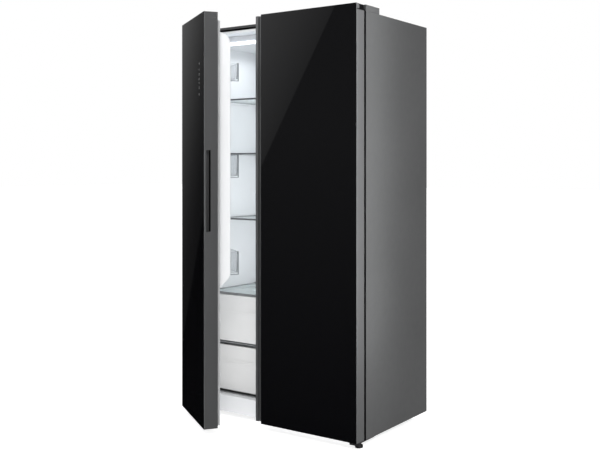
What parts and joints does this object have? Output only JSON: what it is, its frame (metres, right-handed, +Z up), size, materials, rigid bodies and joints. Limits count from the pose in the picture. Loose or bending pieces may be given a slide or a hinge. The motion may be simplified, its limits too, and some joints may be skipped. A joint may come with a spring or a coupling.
{
  "type": "side by side refrigerator",
  "caption": "Free-standing side by side refrigerator with black glass doors, a grey steel cabinet, freezer on the left and fridge on the right, and the freezer door standing ajar.",
  "frame": {"origin": "middle of the bottom of the object's box, on the floor, with the freezer door standing ajar by 34 degrees", "axes": "+Z up along the height, +Y towards the back, +X to the right as seen from the front"},
  "size_m": [0.93, 0.8024, 1.738],
  "materials": {
    "graphite_paint": "satin dark grey enamel on steel sheet",
    "door_edge_paint": "satin grey metallic finish on the door's folded sides",
    "cap_plastic": "fine-textured dark grey moulding",
    "black_glass": "polished tempered glass with a black back coat",
    "galvanised_steel": "galvanised sheet",
    "white_plastic": "vacuum-formed white plastic, semi-gloss",
    "clear_plastic": "clear moulded plastic, slightly cool",
    "shelf_glass": "tempered glass with a slim dark grey front trim",
    "foam": "rigid polyurethane foam",
    "black_rubber": "black rubberised moulding",
    "gasket_vinyl": "soft grey vinyl bellows",
    "black_steel": "black powder coat",
    "black_plastic": "matte black moulding",
    "lamp_lens": "frosted lamp lens",
    "fin_aluminium": "mill-finish fins",
    "circuit_board": "solder-masked board"
  },
  "bodies": {
    "cabinet": {"outer_shell": "graphite_paint", "front_frame": "white_plastic", "freezer_liner": "white_plastic", "fridge_liner": "white_plastic", "foam_insulation": "foam", "base_pan": "galvanised_steel", "back_panel": "galvanised_steel", "compressor_bay_cover": "galvanised_steel", "control_board_cover": "white_plastic", "compressor": "black_steel", "condenser": "black_steel", "evaporator": "fin_aluminium", "left_lower_hinge": "black_steel", "right_lower_hinge": "black_steel", "left_upper_hinge": "black_steel", "right_upper_hinge": "black_steel", "left_hinge_cover": "graphite_paint", "right_hinge_cover": "graphite_paint", "freezer_duct_cover": "white_plastic", "freezer_ceiling_duct": "white_plastic", "freezer_lamp": "lamp_lens", "freezer_drawer_lid": "shelf_glass", "freezer_drawer_divider": "shelf_glass", "freezer_shelf_1": "shelf_glass", "freezer_shelf_2": "shelf_glass", "freezer_shelf_3": "shelf_glass", "fridge_duct_cover": "white_plastic", "fridge_lamp": "lamp_lens", "crisper_lid": "shelf_glass", "fridge_shelf_1": "shelf_glass", "fridge_shelf_2": "shelf_glass", "fridge_shelf_3": "shelf_glass"},
    "freezer_door": {"freezer_door_glass": "black_glass", "freezer_door_pan": "door_edge_paint", "freezer_door_top_cap": "cap_plastic", "freezer_door_liner": "white_plastic", "freezer_door_gasket": "gasket_vinyl", "freezer_grip_insert": "black_plastic", "touch_control_board": "circuit_board", "freezer_door_bin_1": "clear_plastic", "freezer_door_bin_2": "clear_plastic", "freezer_door_bin_3": "clear_plastic"},
    "fridge_door": {"fridge_door_glass": "black_glass", "fridge_door_pan": "door_edge_paint", "fridge_door_top_cap": "cap_plastic", "fridge_door_liner": "white_plastic", "fridge_door_gasket": "gasket_vinyl", "fridge_door_bin_1": "clear_plastic", "fridge_door_bin_2": "clear_plastic", "fridge_door_bin_3": "clear_plastic"},
    "freezer_drawer_upper": {"freezer_drawer_upper": "clear_plastic"},
    "freezer_drawer_lower": {"freezer_drawer_lower": "clear_plastic"},
    "crisper_upper": {"crisper_upper": "clear_plastic"},
    "crisper_lower": {"crisper_lower": "clear_plastic"},
    "left_front_foot": {"left_front_foot": "black_rubber"},
    "right_front_foot": {"right_front_foot": "black_rubber"},
    "left_rear_roller": {"left_rear_roller": "white_plastic"},
    "right_rear_roller": {"right_rear_roller": "white_plastic"},
    "condenser_fan_blades": {"condenser_fan_blades": "white_plastic"},
    "evaporator_fan_blades": {"evaporator_fan_blades": "white_plastic"}
  },
  "joints": [
    {"name": "freezer_door_hinge", "type": "hinge", "parent": "cabinet", "child": "freezer_door", "pos_m": [-0.42497, -0.15862, 0.882], "axis": [0, 0, -1], "range_deg": [-34, 71]},
    {"name": "fridge_door_hinge", "type": "hinge", "parent": "cabinet", "child": "fridge_door", "pos_m": [0.44503, -0.15862, 0.882], "axis": [0, 0, 1], "range_deg": [0, 105]},
    {"name": "freezer_drawer_upper_slide", "type": "slide", "parent": "cabinet", "child": "freezer_drawer_upper", "axis": [0, -1, 0], "range_m": [0, 0.048]},
    {"name": "freezer_drawer_lower_slide", "type": "slide", "parent": "cabinet", "child": "freezer_drawer_lower", "axis": [0, -1, 0], "range_m": [0, 0.048]},
    {"name": "crisper_upper_slide", "type": "slide", "parent": "cabinet", "child": "crisper_upper", "axis": [0, -1, 0], "range_m": [0, 0.045]},
    {"name": "crisper_lower_slide", "type": "slide", "parent": "cabinet", "child": "crisper_lower", "axis": [0, -1, 0], "range_m": [0, 0.045]},
    {"name": "left_foot_screw", "type": "hinge", "parent": "cabinet", "child": "left_front_foot", "pos_m": [-0.42597, -0.15062, 0.01], "axis": [0, 0, 1], "continuous": true},
    {"name": "right_foot_screw", "type": "hinge", "parent": "cabinet", "child": "right_front_foot", "pos_m": [0.44603, -0.15062, 0.01], "axis": [0, 0, 1], "continuous": true},
    {"name": "left_roller_spin", "type": "hinge", "parent": "cabinet", "child": "left_rear_roller", "pos_m": [-0.39497, 0.34738, 0.019], "axis": [1, 0, 0], "continuous": true},
    {"name": "right_roller_spin", "type": "hinge", "parent": "cabinet", "child": "right_rear_roller", "pos_m": [0.41503, 0.34738, 0.019], "axis": [1, 0, 0], "continuous": true},
    {"name": "condenser_fan_spin", "type": "hinge", "parent": "cabinet", "child": "condenser_fan_blades", "pos_m": [-0.08997, 0.28938, 0.104], "axis": [1, 0, 0], "continuous": true},
    {"name": "evaporator_fan_spin", "type": "hinge", "parent": "cabinet", "child": "evaporator_fan_blades", "pos_m": [-0.23197, 0.28338, 1.022], "axis": [0, 1, 0], "continuous": true}
  ]
}
